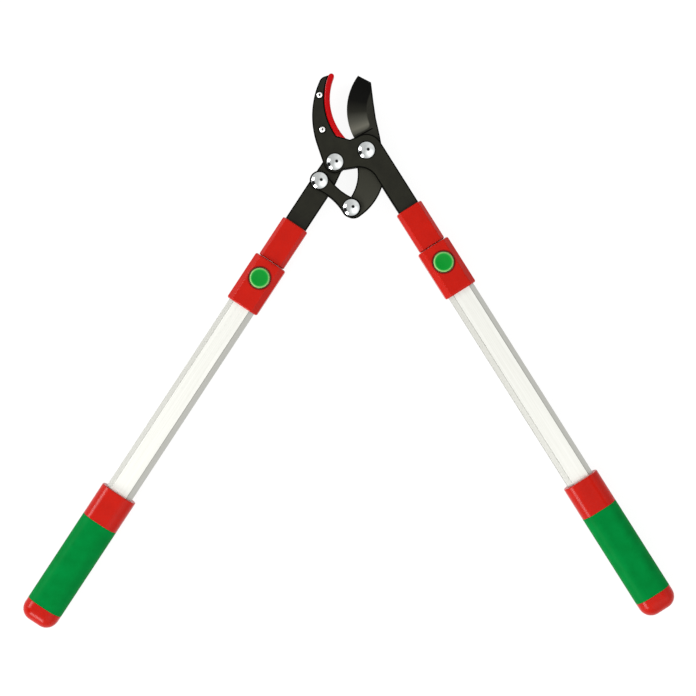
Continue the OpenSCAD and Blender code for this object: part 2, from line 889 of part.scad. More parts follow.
module left_button() on_left() button();

module right_button() on_right() button();

// Spring strip under the button: it rocks on the tube's end and lifts its nose out of a lock hole
module lock_spring()
    color(steel) {
        fold = [fold_y, ceiling - seat - fold_r];
        rotate([90, 0, 90])
            linear_extrude(leaf_w, center = true)
                polygon(concat(
                    [[leaf_start, leaf_base]],
                    arc(fold, fold_r, -90, 90),
                    [[nose_y - nose_r, fold.y + fold_r], [nose_y - nose_r, fold.y + fold_r - leaf_t]],
                    arc(fold, fold_r - leaf_t, 90, -90),
                    [[leaf_start, leaf_top]]
                ));
        round_bar(0, nose_y, nose_r, inner_half_t - inner_wall, leaf_base + leaf_t / 2);
    }

module left_lock_spring() on_left() lock_spring();

module right_lock_spring() on_right() lock_spring();

module housing_screws()
    color(steel)
        screw_places() {
            round_bar(0, 0, screw_head_r, screw_head_z, screw_head_z + screw_head_h);
            round_bar(0, 0, screw_r, screw_head_z, tube_back_in - seat);
        }

module left_housing_screws() on_left() housing_screws();

module right_housing_screws() on_right() housing_screws();

// Red core of the grip: a full-size collar, then a slimmer stretch under the soft sleeve
module grip_core()
    color(red)
        difference() {
            union() {
                drawn(grip_top, soft_top)
                    rounded_section(grip_w, grip_t, grip_r);
                drawn(soft_top - over, cap_top)
                    rounded_section(grip_w - 2 * soft_t, grip_t - 2 * soft_t, grip_r - soft_t);
            }
            drawn(grip_top - over, cap_top + over)
                tube_section(-seat);
        }

module left_grip_core() on_left() grip_core();

module right_grip_core() on_right() grip_core();

module grip_sleeve() {
    bore_in = soft_t - seat;
    color(green)
        drawn(soft_top, cap_top)
            difference() {
                rounded_section(grip_w, grip_t, grip_r);
                rounded_section(grip_w - 2 * bore_in, grip_t - 2 * bore_in, grip_r - bore_in);
            }
}

module left_grip_sleeve() on_left() grip_sleeve();

module right_grip_sleeve() on_right() grip_sleeve();

// Block with the rounding of the cap on its end
module cap_form()
    intersection() {
        hull()
            for (x = [-1, 1], z = [-1, 1])
                translate([x * (grip_w / 2 - grip_r), 0, z * (grip_t / 2 - grip_r)]) {
                    drawn(cap_top, cap_top + seat)
                        circle(grip_r, $fn = hull_fn);
                    translate([0, handle_end - grip_r, 0])
                        sphere(grip_r, $fn = hull_fn);
                }
        drawn(cap_top, handle_end)
            square(2 * grip_w, center = true);
    }

// Domed cap whose plug closes the outer tube
module grip_cap()
    color(red) {
        difference() {
            cap_form();
            drawn(cap_top - over, tube_end + seat)
                tube_section(-seat);
        }
        drawn(tube_end - cap_plug, tube_end + over)
            tube_section(tube_wall + seat);
    }

module left_grip_cap() on_left() grip_cap();

module right_grip_cap() on_right() grip_cap();

jaw_front();
jaw_rear();
arm_spacer();
anvil_pad();
anvil_rivets();
blade();
blade_washers();
left_arm();
link_front();
link_rear();
blade_bolt();
arm_bolt();
link_arm_bolt();
link_blade_bolt();
jaw_nuts();
link_arm_nut();
link_blade_nut();
left_sleeve();
right_sleeve();
left_inner_tube();
right_inner_tube();
left_tang_rivets();
right_tang_rivets();
left_guide_plug();
right_guide_plug();
left_outer_tube();
right_outer_tube();
left_lock_housing();
right_lock_housing();
left_button();
right_button();
left_lock_spring();
right_lock_spring();
left_housing_screws();
right_housing_screws();
left_grip_core();
right_grip_core();
left_grip_sleeve();
right_grip_sleeve();
left_grip_cap();
right_grip_cap();
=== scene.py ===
# %% [markdown]
# # Anvil lopper with telescopic handles
#
# The tool lies open on a pale table and is seen from straight above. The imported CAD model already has
# every piece at its right size and place, so this script dresses it: it rounds the edges that a press,
# a mould or a die leaves round, gives each piece the finish of its real material, and then lights it.

# %% Load the CAD frame
import json
import math

import bmesh
import bpy
from mathutils import Matrix, Vector


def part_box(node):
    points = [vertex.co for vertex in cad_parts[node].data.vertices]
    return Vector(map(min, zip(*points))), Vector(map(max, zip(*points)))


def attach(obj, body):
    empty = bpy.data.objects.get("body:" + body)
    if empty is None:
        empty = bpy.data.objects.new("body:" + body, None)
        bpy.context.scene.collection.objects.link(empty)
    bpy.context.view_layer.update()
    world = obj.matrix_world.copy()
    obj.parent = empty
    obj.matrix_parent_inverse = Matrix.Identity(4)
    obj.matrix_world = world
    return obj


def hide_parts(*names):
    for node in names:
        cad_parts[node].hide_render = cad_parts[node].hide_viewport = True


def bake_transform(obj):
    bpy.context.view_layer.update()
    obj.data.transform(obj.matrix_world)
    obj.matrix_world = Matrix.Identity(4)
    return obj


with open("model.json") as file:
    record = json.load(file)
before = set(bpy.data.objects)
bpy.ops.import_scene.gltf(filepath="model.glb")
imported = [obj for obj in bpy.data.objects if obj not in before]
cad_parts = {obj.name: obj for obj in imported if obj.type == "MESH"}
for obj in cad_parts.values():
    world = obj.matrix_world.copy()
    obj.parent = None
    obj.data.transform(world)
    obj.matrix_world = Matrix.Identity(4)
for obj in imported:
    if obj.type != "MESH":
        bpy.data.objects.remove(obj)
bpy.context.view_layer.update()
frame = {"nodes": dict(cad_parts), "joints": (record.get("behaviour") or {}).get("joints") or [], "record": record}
MM = 0.001

# %% [markdown]
# ## Where things are
#
# The blade's hinge gives the middle plane of the tool, and the slides give the direction of each handle. A
# handle's own axes are then X across it, Y along it towards the grip and Z up to the camera, and the point
# of the tube's axis under the button is the origin. The new pieces of the handles are drawn in such axes
# and placed with one matrix, so that the two handles come from the same few lines.

# %% Blade pivot and handle axes
joints = {joint["name"]: joint for joint in frame["joints"]}
blade_pivot = Vector(joints["blade_swing"]["pos_m"])
UP = Vector((0, 0, 1))
SIDES = ("left", "right")


def handle_matrix(side):
    """Matrix from a handle's own axes to the frame."""
    along = Vector(joints[f"{side}_handle_slide"]["axis"]).normalized()
    low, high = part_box(f"{side}_button")
    turn = Matrix((along.cross(UP), along, UP)).transposed().to_4x4()
    centre = (low + high) / 2
    return Matrix.Translation((centre.x, centre.y, blade_pivot.z)) @ turn


handle = {side: handle_matrix(side) for side in SIDES}
for side in SIDES:
    print(side, "button at", [round(v / MM, 1) for v in handle[side].translation])

# %% [markdown]
# ## Colours and nodes
#
# The colours below are written as sRGB hex values, as a colour picker shows them. Shaders work in
# linear light, so one function turns them over. Another adds a shader node with its settings and
# links, which keeps each material short enough to read.

# %% Helpers for materials
# Settings of a Mix node that multiplies one colour by another
TINT = {"data_type": "RGBA", "blend_type": "MULTIPLY"}


def linear(hex_colour):
    """Linear RGBA of an sRGB colour such as '#cd1e16'."""
    parts = [int(hex_colour[i:i + 2], 16) / 255 for i in (1, 3, 5)]
    return [c / 12.92 if c <= 0.04045 else ((c + 0.055) / 1.055) ** 2.4 for c in parts] + [1.0]


def feed(tree, node, **links):
    """Sets or connects a node's inputs by name, or by number as i0, i1 and so on."""
    for name, value in links.items():
        key = int(name[1:]) if name[0] == "i" and name[1:].isdigit() else name.replace("_", " ")
        if isinstance(value, bpy.types.NodeSocket):
            tree.links.new(value, node.inputs[key])
        else:
            node.inputs[key].default_value = value


def add(tree, kind, settings=None, **links):
    """Adds a node: settings sets its properties, links sets or connects its inputs."""
    node = tree.nodes.new(kind)
    for name, value in (settings or {}).items():
        setattr(node, name, value)
    feed(tree, node, **links)
    return node


def new_material(name):
    """An empty material with its shader, ready for patterns, and the object coordinates."""
    material = bpy.data.materials.new(name)
    material.use_nodes = True
    tree = material.node_tree
    shader = tree.nodes["Principled BSDF"]
    place = add(tree, "ShaderNodeTexCoord").outputs["Object"]
    return material, tree, shader, place


def per_mm(size):
    """Scale of a noise texture whose blots are size millimetres wide."""
    return 1 / (size * MM)


def shades(tree, factor, stops):
    """Colour ramp over factor, from pairs of position and hex colour."""
    ramp = add(tree, "ShaderNodeValToRGB", Fac=factor)
    elements = ramp.color_ramp.elements
    while len(elements) < len(stops):
        elements.new(1.0)
    for element, (position, colour) in zip(elements, stops):
        element.position = position
        element.color = linear(colour)
    return ramp.outputs["Color"]


def reach_from_axis(tree, place, axis):
    """Distance from an upright axis, as a shader value."""
    centred = add(tree, "ShaderNodeVectorMath", {"operation": "SUBTRACT"}, i0=place, i1=axis)
    flat = add(
        tree, "ShaderNodeVectorMath", {"operation": "MULTIPLY"},
        i0=centred.outputs["Vector"], i1=(1, 1, 0),
    )
    reach = add(tree, "ShaderNodeVectorMath", {"operation": "LENGTH"}, i0=flat.outputs["Vector"])
    return reach.outputs["Value"]


print("black in linear light:", [round(c, 4) for c in linear("#2d2e28")])

# %% [markdown]
# ## Black coated steel
#
# The jaw plates, the arm and the links are stamped steel with a baked black coat. A thin baked coat is
# satin: it has a soft sheen, a very fine orange peel and slightly uneven gloss. A fine noise as bump
# gives the peel and a coarser one moves the roughness. A painted shadow makes the coat dark and dull up to
# two millimetres from the heads of the bolts and rivets. The rolled-over rims of the plates are painted
# nearly black and matt, as painted shade along the plates' edges, with a finish of their own.

# %% Bolt and rivet heads
BOLTS = ("blade_bolt", "arm_bolt", "link_arm_bolt", "link_blade_bolt")
BOLT_HEAD_RADIUS, RIVET_HEAD_RADIUS = 8.5 * MM, 3.0 * MM
# Corners of a CAD mesh that lie closer than this are one corner
MERGE = 0.001 * MM


def loose_centres(name):
    """Centres of the separate solids of a CAD node."""
    bm = bmesh.new()
    bm.from_mesh(frame["nodes"][name].data)
    bmesh.ops.remove_doubles(bm, verts=bm.verts, dist=MERGE)
    centres, left = [], set(bm.verts)
    while left:
        grown, island = [left.pop()], []
        while grown:
            v = grown.pop()
            island.append(v.co.copy())
            near_by = {e.other_vert(v) for e in v.link_edges} & left
            left -= near_by
            grown.extend(near_by)
        corners = [Vector([pick(co[i] for co in island) for i in range(3)]) for pick in (min, max)]
        centres.append((corners[0] + corners[1]) / 2)
    bm.free()
    return sorted(centres, key=lambda centre: centre.y)


rivet_axes = loose_centres("anvil_rivets")
heads = [((low + high) / 2, BOLT_HEAD_RADIUS) for low, high in map(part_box, BOLTS)]
heads += [(axis, RIVET_HEAD_RADIUS) for axis in rivet_axes]
print("heads:", len(heads))

# %% Coated steel
HEAD_SHADOW_FROM, HEAD_SHADOW_TO = 0.1 * MM, 2.1 * MM
FAR_AWAY = 1.0


def coated_steel():
    """The satin coat, with a painted shadow around the heads."""
    material, tree, shader, place = new_material("baked_black_coat")
    cloud = add(tree, "ShaderNodeTexNoise", Vector=place, Scale=per_mm(9), Detail=3.0, Roughness=0.55)
    peel = add(tree, "ShaderNodeTexNoise", Vector=place, Scale=per_mm(1.1), Detail=2.0)
    tone = shades(tree, cloud.outputs["Fac"], [(0.3, "#121208"), (0.7, "#18180d")])
    gloss = add(tree, "ShaderNodeMapRange", Value=cloud.outputs["Fac"], To_Min=0.40, To_Max=0.50)
    bump = add(tree, "ShaderNodeBump", Height=peel.outputs["Fac"], Strength=0.10, Distance=0.08 * MM)
    nearest = FAR_AWAY
    for axis, radius in heads:
        reach = reach_from_axis(tree, place, axis)
        gap = add(tree, "ShaderNodeMath", {"operation": "SUBTRACT"}, i0=reach, i1=radius).outputs["Value"]
        nearest = add(tree, "ShaderNodeMath", {"operation": "MINIMUM"}, i0=gap, i1=nearest).outputs["Value"]
    # Painted shadow: the coat turns dark and loses its shine close to each head
    unshaded = add(tree, "ShaderNodeMapRange", Value=nearest, From_Min=HEAD_SHADOW_FROM, From_Max=HEAD_SHADOW_TO)
    shine = add(tree, "ShaderNodeMapRange", Value=unshaded.outputs["Result"], To_Min=0.02, To_Max=0.21)
    painted_shade_ramp = shades(tree, unshaded.outputs["Result"], [(0.0, "#303030"), (1.0, "#ffffff")])
    shadowed_tone = add(tree, "ShaderNodeMix", TINT, i0=1.0, i6=tone, i7=painted_shade_ramp)
    feed(
        tree, shader, Base_Color=shadowed_tone.outputs[2], Specular_IOR_Level=shine.outputs["Result"],
        Roughness=gloss.outputs["Result"], Normal=bump.outputs["Normal"],
    )
    return material


def rim_painted_shade():
    """The rolled-over rim of a stamped plate, painted nearly black and matt as the shade along a plate's edge."""
    material, tree, shader, place = new_material("black_rim_painted_shade")
    cloud = add(tree, "ShaderNodeTexNoise", Vector=place, Scale=per_mm(3), Detail=2.0)
    tone = shades(tree, cloud.outputs["Fac"], [(0.3, "#040403"), (0.7, "#080806")])
    gloss = add(tree, "ShaderNodeMapRange", Value=cloud.outputs["Fac"], To_Min=0.55, To_Max=0.65)
    feed(tree, shader, Base_Color=tone, Roughness=gloss.outputs["Result"], Specular_IOR_Level=0.02)
    return material


finish = {"coated_steel": coated_steel()}
rim_finish = rim_painted_shade()
print("finish:", finish["coated_steel"].name, rim_finish.name)

# %% [markdown]
# ## Blade steel
#
# The blade is hardened steel with a slick black coat. Its ground band along the edge is painted with
# the reflection it shows: black at the tip, turning to grey towards the heel, where the grinding runs out
# in a round corner. The band follows the curved edge, so the pattern is drawn around the centre of that
# edge: the distance tells the band from the flat, and the bearing tells the tip from the heel. The
# grinding lines are drawn a little coarser than real ones so that they show.

# %% Blade steel
EDGE_CENTRE = blade_pivot + Vector((40.2 * MM, 42.8 * MM, 0))
EDGE_RADIUS = 60.8 * MM
GROUND_WIDTH = 21 * MM
RUNOUT = 9 * MM
# The band fades into the flat between these two depths
FADE_FROM, FADE_TO = -0.4 * MM, 0.8 * MM
# Bearings of the tip and the heel, and the heel's border as a turn at a radius
TIP_BEARING, HEEL_BEARING = math.radians(36), math.radians(-28)
BORDER_TURN, BORDER_RADIUS = math.radians(27.5), 50 * MM
# Heights of the tail's end and of the tip, from the centre of the edge
TAIL_LEVEL, TIP_LEVEL = -115 * MM, 40 * MM


def blade_steel():
    """The black flat, a little paler towards the tail, and the ground band with its painted reflection."""
    material, tree, shader, place = new_material("slick_coated_blade")
    centred = add(tree, "ShaderNodeMapping", Vector=place, Location=-EDGE_CENTRE)
    split = add(tree, "ShaderNodeSeparateXYZ", Vector=centred.outputs["Vector"])
    flat = add(tree, "ShaderNodeCombineXYZ", X=split.outputs["X"], Y=split.outputs["Y"])
    reach = add(tree, "ShaderNodeVectorMath", {"operation": "LENGTH"}, i0=flat.outputs["Vector"])
    back = add(tree, "ShaderNodeMath", {"operation": "MULTIPLY"}, i0=split.outputs["X"], i1=-1.0)
    bearing = add(
        tree, "ShaderNodeMath", {"operation": "ARCTAN2"},
        i0=split.outputs["Y"], i1=back.outputs["Value"],
    ).outputs["Value"]

    # Depth inside the ground band: the lesser of the distance to its back and to its heel, rounded
    from_back = add(
        tree, "ShaderNodeMath", {"operation": "SUBTRACT"},
        i0=reach.outputs["Value"], i1=EDGE_RADIUS - GROUND_WIDTH,
    )
    past_heel = add(
        tree, "ShaderNodeMath", {"operation": "MULTIPLY_ADD"},
        i0=bearing, i1=BORDER_RADIUS, i2=BORDER_RADIUS * BORDER_TURN,
    )
    band = add(
        tree, "ShaderNodeMath", {"operation": "SMOOTH_MIN"},
        i0=from_back.outputs["Value"], i1=past_heel.outputs["Value"], i2=RUNOUT,
    )
    ground = add(
        tree, "ShaderNodeMapRange", Value=band.outputs["Value"], From_Min=FADE_FROM, From_Max=FADE_TO,
    )

    # The band's tones, a painted reflection, run from the tip to the heel, the flat's from the tail to the tip
    sweep = add(
        tree, "ShaderNodeMapRange", Value=bearing, From_Min=TIP_BEARING, From_Max=HEEL_BEARING,
    )
    ground_reflection_tone = shades(tree, sweep.outputs["Result"], [
        (0.0, "#030302"), (0.40, "#070705"), (0.60, "#1d1d18"),
        (0.78, "#42423b"), (0.90, "#59584f"), (1.0, "#3c3c35"),
    ])
    height = add(
        tree, "ShaderNodeMapRange", Value=split.outputs["Y"], From_Min=TAIL_LEVEL, From_Max=TIP_LEVEL,
    )
    flat_tone = shades(tree, height.outputs["Result"], [
        (0.0, "#36362f"), (0.25, "#2f2f28"), (0.5, "#272721"), (0.8, "#21211c"), (1.0, "#11110e"),
    ])
    tone = add(
        tree, "ShaderNodeMix", {"data_type": "RGBA"},
        i0=ground.outputs["Result"], i6=flat_tone, i7=ground_reflection_tone,
    )
    lines = add(tree, "ShaderNodeMapping", Vector=centred.outputs["Vector"], Scale=(0.06, 1.0, 1.0))
    grind = add(tree, "ShaderNodeTexNoise", Vector=lines.outputs["Vector"], Scale=per_mm(0.9), Detail=2.0)
    gloss = add(tree, "ShaderNodeMapRange", Value=grind.outputs["Fac"], To_Min=0.33, To_Max=0.45)
    bump = add(tree, "ShaderNodeBump", Height=grind.outputs["Fac"], Strength=0.08, Distance=0.05 * MM)
    feed(
        tree, shader, Base_Color=tone.outputs[2], Specular_IOR_Level=0.07,
        Roughness=gloss.outputs["Result"], Normal=bump.outputs["Normal"],
    )
    return material


finish["blade_steel"] = blade_steel()
print("finish:", finish["blade_steel"].name)

# %% [markdown]
# ## Moulded plastics and rubber
#
# The anvil pad is a slick nylon, the sleeves, housings, collars and caps are glossy ABS, the buttons are
# green ABS, and the grip's sleeve is a soft rubber. All are moulded, so their colour is even, and what
# tells them apart is the gloss and the fine texture of the mould. One function makes all but the buttons
# from two close shades, a gloss and the size and depth of that texture.

# %% Plastics


def moulded(name, dark, light, rough, grain_mm, depth, shine):
    """A moulded plastic: two close shades, a roughness range, the grain of its mould and its shine."""
    material, tree, shader, place = new_material(name)
    cloud = add(tree, "ShaderNodeTexNoise", Vector=place, Scale=per_mm(14), Detail=2.0)
    grain = add(tree, "ShaderNodeTexNoise", Vector=place, Scale=per_mm(grain_mm), Detail=2.0)
    tone = shades(tree, cloud.outputs["Fac"], [(0.3, dark), (0.7, light)])
    gloss = add(tree, "ShaderNodeMapRange", Value=cloud.outputs["Fac"], To_Min=rough[0], To_Max=rough[1])
    bump = add(tree, "ShaderNodeBump", Height=grain.outputs["Fac"], Strength=depth, Distance=0.1 * MM)
    feed(
        tree, shader, Base_Color=tone, Specular_IOR_Level=shine,
        Roughness=gloss.outputs["Result"], Normal=bump.outputs["Normal"],
    )
    return material


# Slick nylon: deep red with a clear shine
finish["pad_plastic"] = moulded(
    "slick_red_nylon", "#9c0206", "#a60308", rough=(0.22, 0.26), grain_mm=2.5, depth=0.01, shine=0.12,
)
# Glossy ABS: warm red, with a soft shine on its rounds
RED = ("#a41104", "#ac1305")
RED_GLOSS = {"rough": (0.24, 0.27), "grain_mm": 1.6, "depth": 0.004, "shine": 0.13}
finish["red_plastic"] = moulded("glossy_red_abs", *RED, **RED_GLOSS)
# Soft rubber: a dull sheen over a fine stipple
finish["green_rubber"] = moulded(
    "soft_green_rubber", "#006a2a", "#007330", rough=(0.42, 0.48), grain_mm=0.9, depth=0.10, shine=0.02,
)
# Nylon of the guide plugs: dark and matt
finish["black_plastic"] = moulded(
    "matt_black_nylon", "#1b1b1b", "#242424", rough=(0.5, 0.6), grain_mm=1.2, depth=0.08, shine=0.3,
)
print("plastics:", [material.name for slot, material in finish.items() if "steel" not in slot])

# %% [markdown]
# ## Push buttons and their housings
#
# The buttons are green ABS with a shallow hollow. Their rounded rim is painted paler than the middle, a
# painted highlight. The red housing next to the button is painted darker in a ring around the slit, a
# painted shade. The distance from the button's own axis draws both rings, so each handle has materials of
# its own, centred on its button.

# %% Button and housing plastics
RIM_HIGHLIGHT_FROM, RIM_HIGHLIGHT_TO = 6 * MM, 10.5 * MM
SLIT_SHADE_FROM, SLIT_SHADE_TO = 11 * MM, 14 * MM


def button_plastic(side):
    """The green ABS, with a painted highlight in a ring at the button's rim."""
    material, tree, shader, place = new_material(f"green_abs_painted_rim_highlight_{side}")
    reach = reach_from_axis(tree, place, handle[side].translation)
    ring = add(tree, "ShaderNodeMapRange", Value=reach, From_Min=RIM_HIGHLIGHT_FROM, From_Max=RIM_HIGHLIGHT_TO)
    grain = add(tree, "ShaderNodeTexNoise", Vector=place, Scale=per_mm(1.6), Detail=2.0)
    # Painted highlight: the rim of the button is paler than its middle
    tone = shades(tree, ring.outputs["Result"], [
        (0.0, "#037d25"), (0.42, "#038127"), (0.62, "#28953b"), (0.85, "#84ad69"),
    ])
    gloss = add(tree, "ShaderNodeMapRange", Value=grain.outputs["Fac"], To_Min=0.26, To_Max=0.34)
    bump = add(tree, "ShaderNodeBump", Height=grain.outputs["Fac"], Strength=0.05, Distance=0.1 * MM)
    feed(
        tree, shader, Base_Color=tone, Specular_IOR_Level=0.12,
        Roughness=gloss.outputs["Result"], Normal=bump.outputs["Normal"],
    )
    return material


def housing_plastic(side):
    """The red ABS, with a painted shade in a ring around the button."""
    material = moulded(f"glossy_red_abs_{side}", *RED, **RED_GLOSS)
    tree = material.node_tree
    shader = tree.nodes["Principled BSDF"]
    place = add(tree, "ShaderNodeTexCoord").outputs["Object"]
    reach = reach_from_axis(tree, place, handle[side].translation)
    ring = add(tree, "ShaderNodeMapRange", Value=reach, From_Min=SLIT_SHADE_FROM, From_Max=SLIT_SHADE_TO)
    # Painted shade: the housing darkens in a ring around the button's slit
    painted_shade_ramp = shades(tree, ring.outputs["Result"], [(0.0, "#6a4040"), (0.35, "#a88080"), (0.75, "#ffffff")])
    plain = shader.inputs["Base Color"].links[0].from_socket
    tone = add(tree, "ShaderNodeMix", TINT, i0=1.0, i6=plain, i7=painted_shade_ramp)
    feed(tree, shader, Base_Color=tone.outputs[2])
    return material


button_finish = {side: button_plastic(side) for side in SIDES}
housing_finish = {side: housing_plastic(side) for side in SIDES}
print("buttons and housings:", [m.name for m in (*button_finish.values(), *housing_finish.values())])

# %% [markdown]
# ## Bright metals
#
# The tubes are drawn aluminium, anodised nearly white, with faint lines along their length. Their corner
# facets are painted darker than the broad faces, a painted shade. The bolt heads are polished and chromed,
# so they mirror the room. Nuts, tang rivets, washers, screws and springs are plain zinc-plated steel,
# greyer and a little uneven. The pad's rivets are blind rivets of pale, satin aluminium, with the stub of
# their steel mandrel in the hollow, painted near black as the shade of that hollow.

# %% Tube metal
# Half the width of a tube's broad face, and half the width of the band of tones at its border
TUBE_FLAT = 9.7 * MM
CORNER_BAND = 1 * MM


def drawn_aluminium(side):
    """Bright broad faces, corner facets painted darker as shade, and a darker line where the two meet."""
    material, tree, shader, place = new_material(f"drawn_aluminium_{side}")
    axes = add(
        tree, "ShaderNodeMapping", {"vector_type": "TEXTURE"}, Vector=place,
        Location=handle[side].translation, Rotation=(0, 0, handle[side].to_euler().z),
    )
    lines = add(tree, "ShaderNodeMapping", Vector=axes.outputs["Vector"], Scale=(1.0, 0.01, 1.0))
    draw = add(tree, "ShaderNodeTexNoise", Vector=lines.outputs["Vector"], Scale=per_mm(0.8), Detail=2.0)
    face_tone = shades(tree, draw.outputs["Fac"], [(0.35, "#ebebe4"), (0.65, "#f1f1eb")])
    across = add(tree, "ShaderNodeSeparateXYZ", Vector=axes.outputs["Vector"])
    out = add(tree, "ShaderNodeMath", {"operation": "ABSOLUTE"}, i0=across.outputs["X"])
    corner = add(
        tree, "ShaderNodeMapRange", Value=out.outputs["Value"],
        From_Min=TUBE_FLAT - CORNER_BAND, From_Max=TUBE_FLAT + CORNER_BAND,
    )
    # Painted shade: the corner facets are darker than the broad faces, with a darker line where the two meet
    facet_shade_tone = shades(tree, corner.outputs["Result"], [
        (0.0, "#ffffff"), (0.25, "#ffffff"), (0.45, "#a8a8a6"), (0.6, "#9e9e9c"), (0.8, "#c8c8c7"),
    ])
    tone = add(tree, "ShaderNodeMix", TINT, i0=1.0, i6=face_tone, i7=facet_shade_tone)
    gloss = add(tree, "ShaderNodeMapRange", Value=draw.outputs["Fac"], To_Min=0.46, To_Max=0.52)
    bump = add(tree, "ShaderNodeBump", Height=draw.outputs["Fac"], Strength=0.05, Distance=0.05 * MM)
    feed(
        tree, shader, Base_Color=tone.outputs[2], Metallic=1.0,
        Roughness=gloss.outputs["Result"], Normal=bump.outputs["Normal"],
    )
    return material


tube_finish = {side: drawn_aluminium(side) for side in SIDES}
print("tubes:", [m.name for m in tube_finish.values()])

# %% Small metal parts


def plated(name, dark, light, rough, blot_mm):
    """A small metal part: bright metal whose shade and gloss vary in blots."""
    material, tree, shader, place = new_material(name)
    blot = add(tree, "ShaderNodeTexNoise", Vector=place, Scale=per_mm(blot_mm), Detail=3.0)
    tone = shades(tree, blot.outputs["Fac"], [(0.35, dark), (0.65, light)])
    gloss = add(tree, "ShaderNodeMapRange", Value=blot.outputs["Fac"], To_Min=rough[0], To_Max=rough[1])
    feed(tree, shader, Base_Color=tone, Metallic=1.0, Roughness=gloss.outputs["Result"])
    return material


# Chrome: a clear mirror
finish["polished_steel"] = plated("polished_chrome", "#ccd0cf", "#d8dbda", rough=(0.05, 0.10), blot_mm=3)
# Zinc plate: grey and soft
finish["steel"] = plated("zinc_plated_steel", "#a9abab", "#c2c4c3", rough=(0.28, 0.42), blot_mm=2.5)
# Rivets: satin aluminium around a broken steel stub painted near black, a painted shade of its hollow
rivet_finish = plated("satin_aluminium", "#eeeeec", "#f8f8f6", rough=(0.36, 0.44), blot_mm=2)
stub_shade_finish = plated("near_black_stub_painted_shade", "#1c1c1b", "#343432", rough=(0.5, 0.6), blot_mm=0.8)
print("metals:", finish["polished_steel"].name, finish["steel"].name, rivet_finish.name, stub_shade_finish.name)

# %% [markdown]
# ## Finish of every CAD node
#
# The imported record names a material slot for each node. Here each node's own slots are given the finish
# of that slot, and the tubes and buttons get the one that is turned or centred on their own handle. The
# pad's rivets have a finish of their own.

# %% Give every node its finish
for subpart in frame["record"]["subparts"]:
    node, slot = frame["nodes"][subpart["node"]], subpart["material_slot"]
    side = subpart["node"].split("_")[0]
    own = {"aluminium": tube_finish, "green_plastic": button_finish}.get(slot)
    coat = own[side] if own else finish[slot]
    for material_slot in node.material_slots:
        material_slot.material = coat
for material_slot in frame["nodes"]["anvil_rivets"].material_slots:
    material_slot.material = rivet_finish

# %% [markdown]
# ## Edges
#
# No real edge is perfectly sharp. The drawn tubes have soft corners. Their CAD meshes stay as they are: a
# Weld modifier joins the loose triangles and a Bevel modifier rounds each edge that turns by more than an
# angle.

# %% Round the edges of the tubes
TUBE_EDGE = 0.4 * MM
SHARP_TURN = math.radians(30)


def soften(piece, width, segments, limit):
    """Adds a Bevel modifier for the edges that limit picks out."""
    bevel = piece.modifiers.new("soft_edges", "BEVEL")
    bevel.width = width
    bevel.segments = segments
    bevel.limit_method = limit
    bevel.use_clamp_overlap = False
    return bevel


for side in SIDES:
    tube = frame["nodes"][f"{side}_outer_tube"]
    weld = tube.modifiers.new("join_triangles", "WELD")
    weld.merge_threshold = MERGE
    bevel = soften(tube, TUBE_EDGE, segments=3, limit="ANGLE")
    bevel.angle_limit = SHARP_TURN
    bevel.harden_normals = True
    print("softened:", tube.name)

# %% [markdown]
# ## Stamped plates
#
# A press leaves a narrow rolled-over rim around each plate. The rim is painted nearly black, a painted
# shade that draws a dark line around the plate, which is what tells one black plate from the next. Each
# plate is a copy of its CAD mesh: the loose triangles are merged, the flat ones joined, the flat faces
# inset by the width of the rim, and the old border lowered a little.

# %% Helpers for new pieces
SMOOTH_TURN = math.radians(40)
FLAT_TURN = math.radians(0.5)


def place_piece(name, bm, matrix, body, slot, *nodes):
    """Makes an object of a bmesh, places it with matrix and lets it stand for CAD nodes.

    Without a body the piece is left free.
    """
    bmesh.ops.transform(bm, matrix=matrix, verts=bm.verts)
    mesh = bpy.data.meshes.new(name)
    bm.to_mesh(mesh)
    bm.free()
    mesh.materials.append(finish[slot])
    mesh.polygons.foreach_set("use_smooth", [True] * len(mesh.polygons))
    mesh.set_sharp_from_angle(angle=SMOOTH_TURN)
    piece = bpy.data.objects.new(name, mesh)
    bpy.context.scene.collection.objects.link(piece)
    flats = piece.modifiers.new("flat_faces", "WEIGHTED_NORMAL")
    flats.keep_sharp = True
    if body:
        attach(piece, body)
    if nodes:
        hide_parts(*nodes)
    print(name, len(mesh.polygons), "faces")
    return piece


def cut_across(bm, point, normal):
    """Cuts every face along a plane and returns the new edges."""
    geom = bm.verts[:] + bm.edges[:] + bm.faces[:]
    cut = bmesh.ops.bisect_plane(bm, geom=geom, dist=MERGE, plane_co=point, plane_no=normal)
    return [item for item in cut["geom_cut"] if isinstance(item, bmesh.types.BMEdge)]


def merged_copy(name, matrix, cuts=()):
    """Copy of a CAD mesh in other axes with its triangles joined into large faces.

    A face can't have a hole, so planes given as cuts pass through the holes: the seams they leave
    meet the rims squarely, which keeps the rounding of the rims tidy.
    """
    bm = bmesh.new()
    bm.from_mesh(frame["nodes"][name].data)
    bmesh.ops.transform(bm, matrix=matrix, verts=bm.verts)
    bmesh.ops.remove_doubles(bm, verts=bm.verts, dist=MERGE)
    for normal in cuts:
        for edge in cut_across(bm, (0, 0, 0), normal):
            edge.seam = True
    bmesh.ops.dissolve_limit(
        bm, angle_limit=FLAT_TURN, verts=bm.verts, edges=bm.edges, delimit={"SEAM"},
    )
    return bm


# %% Plates and blade
RIM_WIDTH = 1.4 * MM
RIM_DROP = 0.6 * MM
# Upright share of a face's normal, above which the face is flat, and below which it is a wall
FLAT_SHARE, WALL_SHARE = 0.999, 0.5


def flat_faces(bm):
    """Faces that lie flat, seen from above or below."""
    return [face for face in bm.faces if abs(face.normal.z) > FLAT_SHARE]


